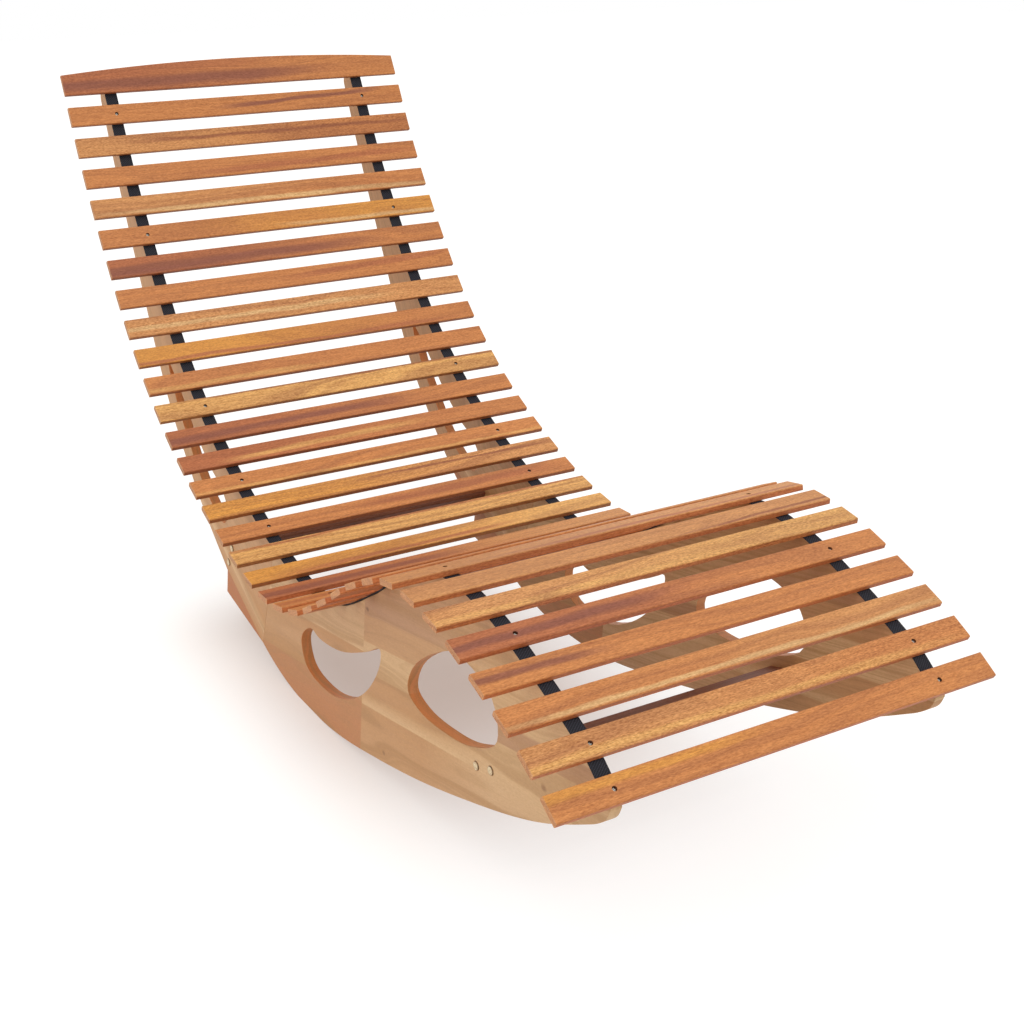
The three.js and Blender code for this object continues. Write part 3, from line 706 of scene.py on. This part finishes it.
def laid_up_wood(board_name, number):
    """A board's material: lengths of staves that meet at joint lines, with knots and figure."""
    lengths, joints, origin, knots, shift = BOARD_LOOKS[board_name]
    material, tree = new_material(f"laid-up acacia {board_name.replace('_', ' ')}")
    source = put(tree, "ShaderNodeTexCoord", take=3)
    for step, (rise, staves) in enumerate(lengths):
        axes = grain_frame(rise)
        offset = np.array((LENGTH_STEP_MM * step, shift, BOARD_STEP_MM * number))
        own = put(tree, "ShaderNodeMapping",
                  {0: source, 1: np.array([0, *origin]) * MM, 2: axes.to_euler(), 3: (MM, MM, MM)},
                  vector_type="TEXTURE")
        own = put(tree, "ShaderNodeVectorMath", {0: own, 1: offset}, operation="ADD")
        own = push_from_knots(tree, own, knots, axes, origin, offset)
        across = put(tree, "ShaderNodeSeparateXYZ", {0: own}, take=1)
        tone = stave_ramp(tree, across, staves)
        if step == 0:
            place, ground = own, tone
            continue
        past = passed(tree, source, *joints[step - 1])
        if rise != lengths[step - 1][0]:
            after = put(tree, "ShaderNodeMath", {0: past, 1: 0.5}, operation="GREATER_THAN")
            place = put(tree, "ShaderNodeMix", {0: after, 4: place, 5: own}, take=1,
                        data_type="VECTOR")
        ground = put(tree, "ShaderNodeMix", {0: past, 6: ground, 7: tone}, take=2,
                     data_type="RGBA")
    for y, z, radius in knots:
        gap = put(tree, "ShaderNodeVectorMath", {0: source, 1: np.array([0, y, z]) * MM},
                  operation="SUBTRACT")
        gap = put(tree, "ShaderNodeVectorMath", {0: gap, 1: np.array(HEART_SHAPE) / MM},
                  operation="MULTIPLY")
        far = put(tree, "ShaderNodeVectorMath", {0: gap}, take=1, operation="LENGTH")
        heart = put(tree, "ShaderNodeMapRange",
                    {0: far, 1: HEART_EDGE[0] * radius, 2: HEART_EDGE[1] * radius,
                     4: HEART_COVER}, interpolation_type="SMOOTHSTEP")
        ground = put(tree, "ShaderNodeMix", {0: heart, 6: ground, 7: STAVE["knot"]}, take=2,
                     data_type="RGBA")
    # painted warm bounce light on the walls of the openings
    opening_bounce = put(tree, "ShaderNodeAttribute", take=2, attribute_name="opening_bounce")
    opening_bounce = put(tree, "ShaderNodeMath", {0: opening_bounce, 1: OPENING_BOUNCE_COVER}, operation="MULTIPLY")
    ground = put(tree, "ShaderNodeMix", {0: opening_bounce, 6: ground, 7: OPENING_BOUNCE}, take=2,
                 data_type="RGBA")
    finish_wood(tree, place, BOARD_SEED + BOARD_SEED_STEP * number, ground, late=STAVE_LATE,
                figure=0.6, fibres=0.4, pores=0.12)
    return material


for number, name in enumerate(BOARD_NAMES):
    paint(boards[name], laid_up_wood(name, number))
print(len(boards), "boards laid up")

# %% [markdown]
# ## Rails, plugs and rail screws
# The two cross rails are darker heartwood. Each end is held by two steel screws that lie deep in
# the side board, under plugs of pale end grain. These are small turned or planed pieces with the
# right shape in the CAD model already, so each keeps its mesh and gets its finish here. A plug's
# rim and wall get painted shade, so the rim is dark.

# %% Rails, plugs and screws
RAIL_WOOD = linear("#8a5336")
RAIL_LATE = linear("#5b3322")
PLUG_WOOD = linear("#ead5ae")
PLUG_LATE = linear("#b98f5f")
# painted shade on a plug's rim and side wall
PLUG_RIM_SHADE = linear("#5f4026")
PLUG_RIM_SHADE_MM = (4.6, 5.3)  # distances from the axis between which the rim turns dark
PLUG_RIM_SHADE_COVER = 0.85
STEEL = linear("#c9c7c0")
STEEL_BLOTCHES = 350  # per metre, so about 3 mm each
RAIL_SEED, PLUG_SEED, PLUG_SEED_STEP = 31.3, 57.1, 1.7


def dark_rail(node, seed):
    """Dark heartwood, laid along the rail as on a slat."""
    material, tree = new_material("oiled dark acacia rail")
    place = lay_along(tree, *measure_slat(node))
    finish_wood(tree, place, seed, RAIL_WOOD, RAIL_LATE, figure=0.6, fibres=1.2, pores=0.4)
    paint(node, material)


def end_grain_plug(node, seed):
    """Pale end grain, with painted shade on the rim and the wall."""
    material, tree = new_material("pale end-grain plug")
    low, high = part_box(node.name)
    source = put(tree, "ShaderNodeTexCoord", take=3)
    place = put(tree, "ShaderNodeMapping",
                {0: source, 1: (np.array(low) + np.array(high)) / 2, 3: (MM, MM, MM)},
                vector_type="TEXTURE")
    from_axis = put(tree, "ShaderNodeVectorMath", {0: place, 1: (0, 1, 1)}, operation="MULTIPLY")
    from_axis = put(tree, "ShaderNodeVectorMath", {0: from_axis}, take=1, operation="LENGTH")
    rim_shade = put(tree, "ShaderNodeMapRange",
              {0: from_axis, 1: PLUG_RIM_SHADE_MM[0], 2: PLUG_RIM_SHADE_MM[1], 4: PLUG_RIM_SHADE_COVER})
    ground = put(tree, "ShaderNodeMix", {0: rim_shade, 6: PLUG_WOOD, 7: PLUG_RIM_SHADE}, take=2,
                 data_type="RGBA")
    finish_wood(tree, place, seed, ground, PLUG_LATE, figure=0.45, fibres=0.8, pores=0.5)
    paint(node, material)


def make_steel():
    """Zinc-plated steel: a bright soft gloss, in blotches that are a little duller or brighter."""
    material, tree = new_material("zinc-plated steel")
    source = put(tree, "ShaderNodeTexCoord", take=3)
    blotches = put(tree, "ShaderNodeTexNoise",
                   {"Vector": source, "Scale": STEEL_BLOTCHES, "Detail": 3})
    tint = put(tree, "ShaderNodeMapRange", {0: blotches, 1: 0.3, 2: 0.7, 3: 0.85, 4: 1.1})
    colour = put(tree, "ShaderNodeHueSaturation", {"Value": tint, "Color": STEEL})
    rough = put(tree, "ShaderNodeMapRange", {0: blotches, 1: 0.3, 2: 0.7, 3: 0.28, 4: 0.45})
    surface = put(tree, "ShaderNodeBsdfPrincipled",
                  {"Base Color": colour, "Metallic": 1.0, "Roughness": rough})
    put(tree, "ShaderNodeOutputMaterial", {"Surface": surface})
    return material


zinc = make_steel()
for seed, (name, node) in enumerate(sorted(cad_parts.items())):
    if name.endswith("_rail"):
        dark_rail(node, RAIL_SEED + seed)
        print(name, "oiled")
    elif "_plug_" in name:
        end_grain_plug(node, PLUG_SEED + PLUG_SEED_STEP * seed)
    elif "_screw_" in name:
        paint(node, zinc)

# %% [markdown]
# ## Webbing straps
# The slats hang together on two straps of black woven webbing, which follow the tops of the side
# frames from the crest to the foot. A strap is a narrow ribbon section swept along the undersides
# of the slats. The weave is real relief: the yarns are rows of small bumps, and each column is
# shifted half a step from its neighbours. Each point keeps how high it stands on its yarn, and the
# material reads that to paint a highlight on the yarns' crowns and painted shade, nearly black, in
# the gaps between them.

# %% Line of the straps
STRAP_DEPTH_MM = 9.05  # from a slat's top face to the middle of the strap
YARN_STEP_MM = 3.3  # drawn about twice too coarse, so that it shows
STEPS_PER_YARN = 3
SOFTENED_STEPS = 7  # a corner is rounded over this many steps


def strap_line():
    """(y, z) in mm along the middle of a strap, in equal steps, from the crest slat to the foot.

    Each slat gives a straight piece below its underside: place + across * share - out * depth. The
    corners between two slats are softened by a moving average.
    """
    points = []
    for number in sorted(slats):
        y, z, lean = slats[number]
        middle = np.array([y, z]) / MM
        wide = np.array([math.cos(lean), math.sin(lean)])
        out = np.array([-wide[1], wide[0]])
        half = SLAT_WIDTH_MM / 2
        shares = [0 if number == 1 else half, 0 if number == len(slats) else -half]
        points += [middle + wide * share - out * STRAP_DEPTH_MM for share in shares]
    points = np.array(points)
    run = np.r_[0, np.cumsum(np.linalg.norm(np.diff(points, axis=0), axis=1))]
    steps = np.arange(0, run[-1], YARN_STEP_MM / STEPS_PER_YARN)
    line = np.stack([np.interp(steps, run, points[:, k]) for k in (0, 1)], axis=1)
    window = np.ones(SOFTENED_STEPS) / SOFTENED_STEPS
    edge = SOFTENED_STEPS // 2
    padded = np.pad(line, ((edge, edge), (0, 0)), mode="reflect", reflect_type="odd")
    return np.stack([np.convolve(padded[:, k], window, "valid") for k in (0, 1)], axis=1)


# %% Woven straps
STRAP_WIDTH_MM = 20
STRAP_THICK_MM = 1.5
SELVEDGE_SHARE = 0.45  # of the full thickness
YARN_RELIEF_MM = 0.16
COLUMNS = 11


def closed_tube(name, grid):
    """An object from a grid of closed rows of points, with both ends closed by one face each."""
    rows, round_count = grid.shape[:2]
    index = np.arange(rows * round_count).reshape(rows, round_count)
    right = np.roll(index, -1, axis=1)
    quads = np.stack([index[:-1], right[:-1], right[1:], index[1:]], axis=-1).reshape(-1, 4)
    faces = quads.tolist() + [index[0, ::-1].tolist(), index[-1].tolist()]
    mesh = bpy.data.meshes.new(name)
    mesh.from_pydata(grid.reshape(-1, 3), [], faces)
    mesh.polygons.foreach_set("use_smooth", [True] * len(quads) + [False] * 2)
    made = bpy.data.objects.new(name, mesh)
    bpy.context.collection.objects.link(made)
    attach(made, "root")
    return made


def woven_strap(name, x):
    """A closed band: a ribbon section of two rows of points, carried along the strap line.

    A point j of a row lies at x = half width * (1 - 2j/(n-1)), and half the thickness above or
    below the line, plus a yarn bump of cos(2 pi * run / step + pi * j). The rows run this way
    round so that the faces point outwards. The outermost points are tucked in, so the selvedge
    is thinner.
    """
    line = strap_line()
    along = np.gradient(line, axis=0)
    along /= np.linalg.norm(along, axis=1)[:, None]
    out = np.stack([along[:, 1], -along[:, 0]], axis=1)
    j = np.arange(COLUMNS)
    across = (1 - 2 * j / (COLUMNS - 1)) * STRAP_WIDTH_MM / 2
    selvedge = (j == 0) | (j == COLUMNS - 1)
    thin = np.where(selvedge, SELVEDGE_SHARE, 1.0) * STRAP_THICK_MM / 2
    turn = 2 * math.pi / STEPS_PER_YARN
    phase = np.arange(len(line))[:, None] * turn + math.pi * j[None, :]
    bump = YARN_RELIEF_MM * (np.cos(phase) - 1) / 2
    height = np.concatenate([thin + bump, -(thin + bump)[:, ::-1]], axis=1)
    side = np.concatenate([across, across[::-1]])
    grid = np.empty((len(line), 2 * COLUMNS, 3))
    grid[:, :, 0] = x + side[None, :]
    grid[:, :, 1:] = line[:, None, :] + out[:, None, :] * height[:, :, None]
    strap = closed_tube(name, grid * MM)
    crown = strap.data.attributes.new("crown", "FLOAT", "POINT")
    top = 1 + bump / YARN_RELIEF_MM
    crown.data.foreach_set("value", np.concatenate([top, top[:, ::-1]], axis=1).ravel())
    return strap


# %% Webbing material
# painted shade in the gaps between the yarns and a painted highlight on their crowns
YARN_GAP_SHADE = linear("#040406")
YARN_CROWN_LIGHT = linear("#3c3c49")
YARN_TUFTS = 700  # per metre: filaments, drawn much too coarse, so that they show
TUFT_MM = 0.15


def make_webbing():
    """Black polypropylene webbing: yarn by yarn a little lighter or darker, with a dull sheen."""
    material, tree = new_material("black woven webbing")
    source = put(tree, "ShaderNodeTexCoord", take=3)
    yarns = put(tree, "ShaderNodeTexNoise",
                {"Vector": source, "Scale": YARN_TUFTS, "Detail": 3})
    tint = put(tree, "ShaderNodeMapRange", {0: yarns, 1: 0.3, 2: 0.7, 3: 0.6, 4: 1.4})
    # the crowns get a painted highlight and the gaps painted shade
    crown = put(tree, "ShaderNodeAttribute", take=2, attribute_name="crown")
    crown = put(tree, "ShaderNodeMath", {0: crown, 1: 2.0}, operation="POWER")
    colour = put(tree, "ShaderNodeMix", {0: crown, 6: YARN_GAP_SHADE, 7: YARN_CROWN_LIGHT}, take=2,
                 data_type="RGBA")
    colour = put(tree, "ShaderNodeHueSaturation", {"Value": tint, "Color": colour})
    bump = put(tree, "ShaderNodeBump", {"Distance": TUFT_MM * MM, "Height": yarns})
    surface = put(tree, "ShaderNodeBsdfPrincipled",
                  {"Base Color": colour, "Roughness": 0.7, "Normal": bump, "IOR": 1.49,
                   "Specular IOR Level": 0.3})
    put(tree, "ShaderNodeOutputMaterial", {"Surface": surface})
    return material


webbing = make_webbing()
for side, x in (("right", -SCREW_X_MM), ("left", SCREW_X_MM)):
    strap = woven_strap(f"{side}_webbing", x)
    paint(strap, webbing)
    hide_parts(f"{side}_strap")
    print(strap.name, len(strap.data.polygons), "faces")

# %% [markdown]
# ## Slat screws
# Ten of the slats are screwed down, each with one screw at either side: the screw passes through
# the strap into the edge of the side frame. Its head sits deep in a counterbore, on the edge of
# the bore, and shows as a spot of steel in a dark hole. It is a turned piece with a cross recess,
# so its surface is a grid of radius and angle.

# %% Screws in the slats
SCREWED_SLATS = (2, 6, 12, 15, 17, 21, 28, 31, 34, 35)
HEAD_SUNK_MM = 2.9
# the outline from the middle of the head to the tip: (radius, height above the head's rim)
SCREW_OUTLINE_MM = np.array([
    (0.3, 0.25), (0.5, 0.25), (0.8, 0.24), (1.0, 0.22), (1.25, 0.19), (1.5, 0.15), (1.8, 0.09),
    (2.1, 0.02), (2.25, -0.15), (2.25, -0.5), (1.8, -1.6), (1.75, -3.0), (1.75, -22), (0.3, -25),
])
TURNS = 40
# the cross recess: its arms' half width and length, how softly each ends, and its depth
ARM_HALF_MM, ARM_MM = 0.6, 1.9
ARM_SIDE_MM, ARM_END_MM = 0.25, 0.4
RECESS_MM = 1.1


def slat_screw(number, side):
    """Outline turned round the screw's axis; the recess lowers the head near two crossed lines."""
    angle = np.arange(TURNS) * 2 * math.pi / TURNS
    radius, height = SCREW_OUTLINE_MM.T
    a = radius[:, None] * np.cos(angle)
    b = radius[:, None] * np.sin(angle)
    near_cross = np.clip((ARM_HALF_MM - np.minimum(abs(a), abs(b))) / ARM_SIDE_MM, 0, 1)
    inside = np.clip((ARM_MM - np.hypot(a, b)) / ARM_END_MM, 0, 1)
    on_head = (height > 0)[:, None]
    up = height[:, None] - RECESS_MM * near_cross * inside * on_head - HEAD_SUNK_MM
    y, z, lean = slats[number]
    x = -SCREW_X_MM if side == "right" else SCREW_X_MM
    grid = np.empty((len(radius), TURNS, 3))
    grid[:, :, 0] = x + a
    grid[:, :, 1] = y / MM + b * math.cos(lean) - up * math.sin(lean)
    grid[:, :, 2] = z / MM + b * math.sin(lean) + up * math.cos(lean)
    screw = closed_tube(f"slat_{number:02d}_{side}_screw", grid[::-1] * MM)
    paint(screw, zinc)


for number in SCREWED_SLATS:
    for side in ("right", "left"):
        slat_screw(number, side)
print(2 * len(SCREWED_SLATS), "slat screws")

# %% [markdown]
# ## Studio
# The photograph is taken on a white sweep under broad soft light. A dome of light fills in from
# every side, a broad lamp overhead gives the shade under the chair, and another at the camera's
# left lifts the side frame. Together they light a level surface at about one, so a colour renders
# as written. The camera, and reflections in metal, see the floor partly as paint that takes the
# lamps' shadows and partly as a white glow, so it is white where nothing shades it. Between the
# side boards a real floor is a warm grey, because light gets there only through the slats and off
# the wood. A glow can't be shaded, so it turns to that grey over the footprint, with soft borders.

# %% Light
DOME = 0.65
# energy, softness in degrees, and turns about x and y in degrees
LAMPS = {"overhead lamp": (1.0, 45, (22, -12)), "left lamp": (0.5, 60, (-8, -68))}


def watched_rays(tree):
    """1 for a ray from the camera, or one mirrored or bent on its way from it, else 0."""
    path = put(tree, "ShaderNodeLightPath").node.outputs
    watched = put(tree, "ShaderNodeMath", {0: path["Is Camera Ray"], 1: path["Is Glossy Ray"]},
                  operation="MAXIMUM")
    return put(tree, "ShaderNodeMath", {0: watched, 1: path["Is Transmission Ray"]},
               operation="MAXIMUM")


world = bpy.data.worlds.new("studio")
world.use_nodes = True
bpy.context.scene.world = world
sky = world.node_tree
sky.nodes.clear()
fill = put(sky, "ShaderNodeBackground", {"Color": (1, 1, 1, 1), "Strength": DOME})
white = put(sky, "ShaderNodeBackground", {"Color": (1, 1, 1, 1), "Strength": 1.0})
shown = put(sky, "ShaderNodeMixShader", {0: watched_rays(sky), 1: fill, 2: white})
put(sky, "ShaderNodeOutputWorld", {"Surface": shown})

for name, (energy, angle, (turn_x, turn_y)) in LAMPS.items():
    lamp_data = bpy.data.lights.new(name, "SUN")
    lamp_data.energy = energy
    lamp_data.angle = math.radians(angle)
    lamp = bpy.data.objects.new(name, lamp_data)
    lamp.rotation_euler = (math.radians(turn_x), math.radians(turn_y), 0)
    bpy.context.collection.objects.link(lamp)
print("lit by a dome and", len(LAMPS), "lamps")

# %% Floor
FLOOR_METRES = 20
FLOOR_PAINT = linear("#e2ddd8")
SEEN_PAINT = linear("#a29d98")
FLOOR_GLOW = 0.8
# painted shade over the chair's footprint, in the floor's glow
UNDER_CHAIR_SHADE = linear("#b9a9a0")
SHADE_X = -0.06  # the middle of the painted shade in metres, a little to the sitter's right
# metres between which the shade comes in: from both sides, from the foot and from the head
SHADE_SIDES, SHADE_FOOT, SHADE_HEAD = (0.36, 0.06), (-0.62, -0.05), (0.50, 0.25)

half = FLOOR_METRES / 2
floor_mesh = bpy.data.meshes.new("studio floor")
floor_mesh.from_pydata([(-half, -half, 0), (half, -half, 0), (half, half, 0), (-half, half, 0)],
                       [], [(0, 1, 2, 3)])
floor = bpy.data.objects.new("studio floor", floor_mesh)
bpy.context.collection.objects.link(floor)

material, tree = new_material("matt white studio floor")
matt = put(tree, "ShaderNodeBsdfDiffuse", {"Color": FLOOR_PAINT})
seen = put(tree, "ShaderNodeBsdfDiffuse", {"Color": SEEN_PAINT})
source = put(tree, "ShaderNodeTexCoord", take=3)
x, y = put(tree, "ShaderNodeSeparateXYZ", {0: source}).node.outputs[:2]
x = put(tree, "ShaderNodeMath", {0: x, 1: SHADE_X}, operation="SUBTRACT")
x = put(tree, "ShaderNodeMath", {0: x}, operation="ABSOLUTE")
under = 1.0
for reach, (outside, inside) in ((x, SHADE_SIDES), (y, SHADE_FOOT), (y, SHADE_HEAD)):
    near = put(tree, "ShaderNodeMapRange", {0: reach, 1: outside, 2: inside},
               interpolation_type="SMOOTHSTEP")
    under = put(tree, "ShaderNodeMath", {0: under, 1: near}, operation="MULTIPLY")
tint = put(tree, "ShaderNodeMix", {0: under, 6: (1, 1, 1, 1), 7: UNDER_CHAIR_SHADE}, take=2,
           data_type="RGBA")
glow = put(tree, "ShaderNodeEmission", {"Color": tint, "Strength": FLOOR_GLOW})
lifted = put(tree, "ShaderNodeAddShader", {0: seen, 1: glow})
shown = put(tree, "ShaderNodeMixShader", {0: watched_rays(tree), 1: matt, 2: lifted})
put(tree, "ShaderNodeOutputMaterial", {"Surface": shown})
paint(floor, material)
print("floor", FLOOR_METRES, "m wide")
